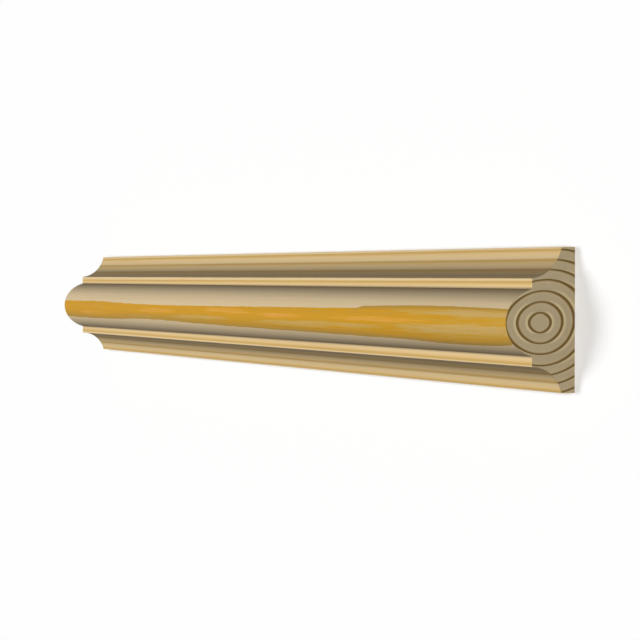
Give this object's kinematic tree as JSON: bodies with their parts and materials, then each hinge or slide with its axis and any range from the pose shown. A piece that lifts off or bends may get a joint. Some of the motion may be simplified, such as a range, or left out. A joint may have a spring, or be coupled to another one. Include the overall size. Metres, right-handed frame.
{
  "type": "dado rail",
  "caption": "Straight length of softwood wall moulding with a round nose between two fillets and two hollow coves, a flat back and square-cut ends.",
  "frame": {"origin": "centre of the flat back, halfway along the length and halfway up the height", "axes": "+X along the length, +Y up the wall once fitted, +Z out from the back through the nose"},
  "size_m": [0.64, 0.069, 0.038],
  "materials": {
    "softwood": "planed, unfinished"
  },
  "bodies": {
    "root": {"dado_rail": "softwood"}
  },
  "joints": []
}
